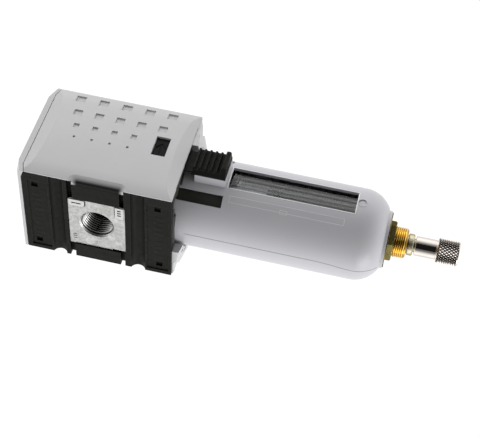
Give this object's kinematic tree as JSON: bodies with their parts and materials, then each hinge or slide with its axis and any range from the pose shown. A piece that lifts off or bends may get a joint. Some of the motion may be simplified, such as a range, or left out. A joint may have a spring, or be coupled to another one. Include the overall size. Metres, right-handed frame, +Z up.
{
  "type": "compressed air line filter",
  "caption": "Modular compressed-air filter unit: square ported head, round bowl guard with sight window, sliding bowl lock and knurled screw drain.",
  "frame": {"origin": "where the port axis crosses the bowl axis, in the middle of the head", "axes": "+Z up along the bowl axis toward the top cap, -X toward the inlet port, -Y toward the front cover and the bowl lock"},
  "size_m": [0.06, 0.0612, 0.2208],
  "materials": {
    "zinc_casting": "satin, fine blasted",
    "black_polyamide": "fine texture, semi-matt",
    "cover_grey": "fine texture, satin",
    "guard_grey": "smooth satin",
    "clear_polycarbonate": "clear, polished",
    "brass_turned": "turned, bright",
    "brass_olive": "turned, dull",
    "nickel_plated": "nickel plated, bright",
    "seal_rubber": "matt",
    "screw_steel": "zinc plated",
    "sintered_white": "porous, matt",
    "tile_black": "smooth, semi-gloss"
  },
  "bodies": {
    "head": {"valve_body": "zinc_casting", "side_frame_inlet": "black_polyamide", "side_frame_outlet": "black_polyamide", "front_cover": "cover_grey", "back_cover": "cover_grey", "top_cap": "cover_grey", "flow_arrow_tile": "tile_black", "bowl_carrier": "black_polyamide", "carrier_screws": "screw_steel", "body_seal": "seal_rubber", "swirl_vane": "black_polyamide", "element_gaskets": "seal_rubber", "filter_element": "sintered_white", "baffle": "black_polyamide", "tie_rod": "screw_steel", "element_nut": "screw_steel"},
    "bowl": {"bowl_guard": "guard_grey", "reservoir": "clear_polycarbonate", "bowl_seal": "seal_rubber", "drain_gasket": "seal_rubber", "drain_body": "brass_turned", "drain_hex_nut": "brass_turned", "drain_collar": "brass_olive", "lock_spring": "screw_steel", "drain_spring": "screw_steel"},
    "lock": {"bowl_lock": "black_polyamide"},
    "stem": {"drain_stem": "brass_turned", "drain_valve_disc": "seal_rubber", "stem_clip": "screw_steel"},
    "knob": {"drain_knob": "nickel_plated"}
  },
  "joints": [
    {"name": "bowl_twist", "type": "hinge", "parent": "head", "child": "bowl", "pos_m": [0, 0, -0.033], "axis": [0, 0, -1], "range_deg": [0, 45]},
    {"name": "lock_pull", "type": "slide", "parent": "bowl", "child": "lock", "axis": [0, 0, -1], "range_m": [0, 0.005], "stiffness_N_per_m": 400, "springref_m": -0.003, "deforming": ["lock_spring"]},
    {"name": "stem_lift", "type": "slide", "parent": "bowl", "child": "stem", "axis": [0, 0, 1], "range_m": [0, 0.00069], "deforming": ["drain_spring"]},
    {"name": "knob_turn", "type": "hinge", "parent": "stem", "child": "knob", "pos_m": [0, 0, -0.17], "axis": [0, 0, 1], "range_deg": [0, 330]}
  ],
  "couplings": [
    {"joint": "stem_lift", "follows": "knob_turn", "m_per_rad": 0.00011937}
  ]
}
